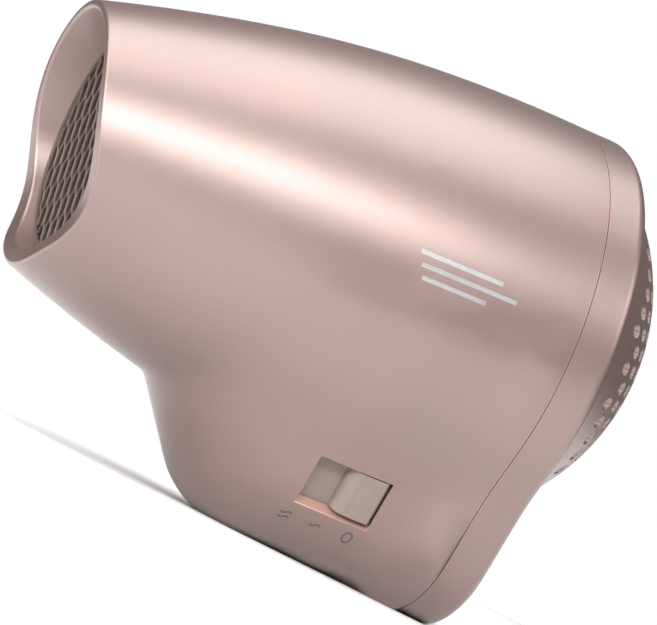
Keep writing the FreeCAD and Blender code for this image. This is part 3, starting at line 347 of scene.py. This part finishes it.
def ink_strokes(name, strokes, width, material):
    """Thin printed strokes that follow the skin; each is a list of barrel x, z points."""
    shape = bmesh.new()
    for stroke in strokes:
        stations = []
        for (x0, z0), (x1, z1) in zip(stroke, stroke[1:]):
            pieces = max(1, round(math.hypot(x1 - x0, z1 - z0) / STROKE_STEP))
            for step in range(pieces):
                share = step / pieces
                stations.append((x0 + (x1 - x0) * share, z0 + (z1 - z0) * share))
        stations.append(stroke[-1])
        rings = []
        for index, (x, z) in enumerate(stations):
            before = stations[max(index - 1, 0)]
            after = stations[min(index + 1, len(stations) - 1)]
            run = Vector((after[0] - before[0], after[1] - before[1])).normalized()
            ring = []
            for side, lift in CORNERS:
                dx, dz = -run.y * side * width / 2, run.x * side * width / 2
                ring.append(shape.verts.new(on_skin(x + dx, z + dz, lift)))
            rings.append(ring)
        for low, high in zip(rings, rings[1:]):
            for k in range(4):
                shape.faces.new((low[k], low[(k + 1) % 4], high[(k + 1) % 4], high[k]))
        shape.faces.new(rings[0][::-1])
        shape.faces.new(rings[-1])
    bmesh.ops.recalc_face_normals(shape, faces=shape.faces)
    made = bpy.data.meshes.new(name)
    shape.to_mesh(made)
    shape.free()
    made.materials.append(material)
    piece = bpy.data.objects.new(name, made)
    bpy.context.scene.collection.objects.link(piece)
    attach(piece, "dryer")


WAVE_STEPS = 12
OVAL_STEPS = 20


def ripple(x, z, length, swing):
    """One full wave, drawn left to right about x, z."""
    shares = [k / WAVE_STEPS for k in range(WAVE_STEPS + 1)]
    return [(x + length * (s - 0.5), z + swing * math.sin(2 * math.pi * s)) for s in shares]


def oval(x, z, wide, high):
    """A closed ring about x, z."""
    turns = [2 * math.pi * k / OVAL_STEPS for k in range(OVAL_STEPS + 1)]
    return [(x + wide / 2 * math.cos(t), z + high / 2 * math.sin(t)) for t in turns]


# Barrel x, z in millimetres.
LEGEND_Z = -52.7
HIGH_X, LOW_X, OFF_X = -34.9, -28.3, -21.1
WAVE_LENGTH = 2.3
LEGEND_STROKE, BAR_STROKE = 0.34, 0.9
ink = plastic("grey_ink", (0.045, 0.042, 0.042), (0.07, 0.066, 0.065), 0.6, 900.0, 0.1)
silver = metal("silver_ink", (0.30, 0.30, 0.30), (0.40, 0.40, 0.395), 0.45)
high_mark = [ripple(HIGH_X, LEGEND_Z + rise, WAVE_LENGTH, -0.25) for rise in (0.2, -0.9)]
low_mark = [ripple(LOW_X, LEGEND_Z - 0.2, WAVE_LENGTH, -0.28)]
ink_strokes("legend_high", high_mark, LEGEND_STROKE, ink)
ink_strokes("legend_low", low_mark, LEGEND_STROKE, ink)
ink_strokes("legend_off", [oval(OFF_X, LEGEND_Z - 0.2, 1.9, 2.3)], LEGEND_STROKE, ink)
bars = [
    [(-37.0, 5.6), (-19.0, 5.6)],
    [(-36.0, 3.2), (-15.0, 3.2)],
    [(-35.0, 0.8), (-21.0, 0.8)],
]
ink_strokes("silver_bars", bars, BAR_STROKE, silver)

# ---------------------------------------------------------------- studio

FLOOR_HALF = 0.5
mesh = bpy.data.meshes.new("studio_floor")
shape = bmesh.new()
bmesh.ops.create_grid(shape, x_segments=1, y_segments=1, size=FLOOR_HALF)
shape.to_mesh(mesh)
shape.free()
floor = bpy.data.objects.new("studio_floor", mesh)
bpy.context.scene.collection.objects.link(floor)
pale = Recipe("pale_floor")
pale.set(
    Base_Color=pale.ramp(pale.noise(3.0), [(0.0, (0.80, 0.80, 0.80)), (1.0, (0.84, 0.84, 0.84))]),
    Roughness=0.8,
)
mesh.materials.append(pale.material)

bpy.context.scene.view_settings.view_transform = "Standard"
world = bpy.data.worlds.new("studio")
bpy.context.scene.world = world
world.use_nodes = True
sky = world.node_tree
SKY_HIGH, SKY_LOW = 0.19, 0.035
SKY_TOP, SKY_BOTTOM = 0.8, -0.6
place = sky.nodes.new("ShaderNodeTexCoord")
parts = sky.nodes.new("ShaderNodeSeparateXYZ")
sky.links.new(place.outputs["Generated"], parts.inputs["Vector"])
height = sky.nodes.new("ShaderNodeMapRange")
height.inputs["From Min"].default_value = SKY_BOTTOM
height.inputs["From Max"].default_value = SKY_TOP
height.inputs["To Min"].default_value = SKY_LOW
height.inputs["To Max"].default_value = SKY_HIGH
sky.links.new(parts.outputs["Z"], height.inputs["Value"])
seen = sky.nodes.new("ShaderNodeLightPath")
choose = sky.nodes.new("ShaderNodeMix")
choose.inputs["B"].default_value = 1.0
sky.links.new(seen.outputs["Is Camera Ray"], choose.inputs["Factor"])
sky.links.new(height.outputs["Result"], choose.inputs["A"])
backdrop = sky.nodes["Background"]
backdrop.inputs["Color"].default_value = (1.0, 1.0, 1.0, 1.0)
sky.links.new(choose.outputs["Result"], backdrop.inputs["Strength"])

CENTRE = (cad_low + cad_high) / 2


def area_light(name, place, size, power):
    """A soft panel aimed at the middle of the object, its long side along the barrel."""
    data = bpy.data.lights.new(name, "AREA")
    data.shape = "RECTANGLE"
    data.size, data.size_y = size
    data.energy = power
    lamp = bpy.data.objects.new(name, data)
    away = (Vector(place) - CENTRE).normalized()
    along = (BARREL_AXIS - away * BARREL_AXIS.dot(away)).normalized()
    frame_axes = Matrix((along, away.cross(along), away)).transposed().to_4x4()
    frame_axes.translation = place
    lamp.matrix_world = frame_axes
    bpy.context.scene.collection.objects.link(lamp)


# ---------------------------------------------------------------- camera

CAMERA_AZIMUTH = math.radians(-19.14)
CAMERA_ELEVATION = math.radians(-0.58)
CAMERA_ROLL = math.radians(22.15)
CAMERA_DISTANCE = 720.15 * MM
CAMERA_SHIFT_RIGHT = -33.4 * MM
CAMERA_SHIFT_UP = -11.89 * MM
SENSOR = 36.0
FOCAL_PIXELS = 3429.3
IMAGE_WIDTH = 657.0

back = Vector((
    math.sin(CAMERA_AZIMUTH) * math.cos(CAMERA_ELEVATION),
    -math.cos(CAMERA_AZIMUTH) * math.cos(CAMERA_ELEVATION),
    math.sin(CAMERA_ELEVATION),
))
level_right = Vector((math.cos(CAMERA_AZIMUTH), math.sin(CAMERA_AZIMUTH), 0.0))
level_up = back.cross(level_right)
eye = back * CAMERA_DISTANCE + level_right * CAMERA_SHIFT_RIGHT + level_up * CAMERA_SHIFT_UP
right = level_right * math.cos(CAMERA_ROLL) + level_up * math.sin(CAMERA_ROLL)
up = level_up * math.cos(CAMERA_ROLL) - level_right * math.sin(CAMERA_ROLL)
pose = Matrix((right, up, back)).transposed().to_4x4()
pose.translation = eye
camera_data = bpy.data.cameras.new("camera")
camera_data.sensor_width = SENSOR
camera_data.lens = FOCAL_PIXELS / IMAGE_WIDTH * SENSOR
camera_data.clip_start = 0.05
camera_data.clip_end = 20.0
camera = bpy.data.objects.new("camera", camera_data)
camera.matrix_world = STAND @ pose
bpy.context.scene.collection.objects.link(camera)
bpy.context.scene.camera = camera

view_rotation = (STAND @ pose).to_3x3()


def from_view(x, y, z):
    """A place given from the object's middle: to the right, up and towards the camera."""
    return tuple(CENTRE + view_rotation @ Vector((x, y, z)))


area_light("key", from_view(-0.08, 0.46, 0.88), (2.2, 0.27), 24.5)
area_light("top_fill", from_view(0.1, 0.95, 0.1), (1.9, 1.0), 22.0)
area_light("mouth_fill", from_view(-0.9, -0.1, 0.1), (0.5, 0.5), 1.9)
area_light("rear_fill", from_view(0.9, 0.05, 0.25), (0.5, 0.5), 3.1)
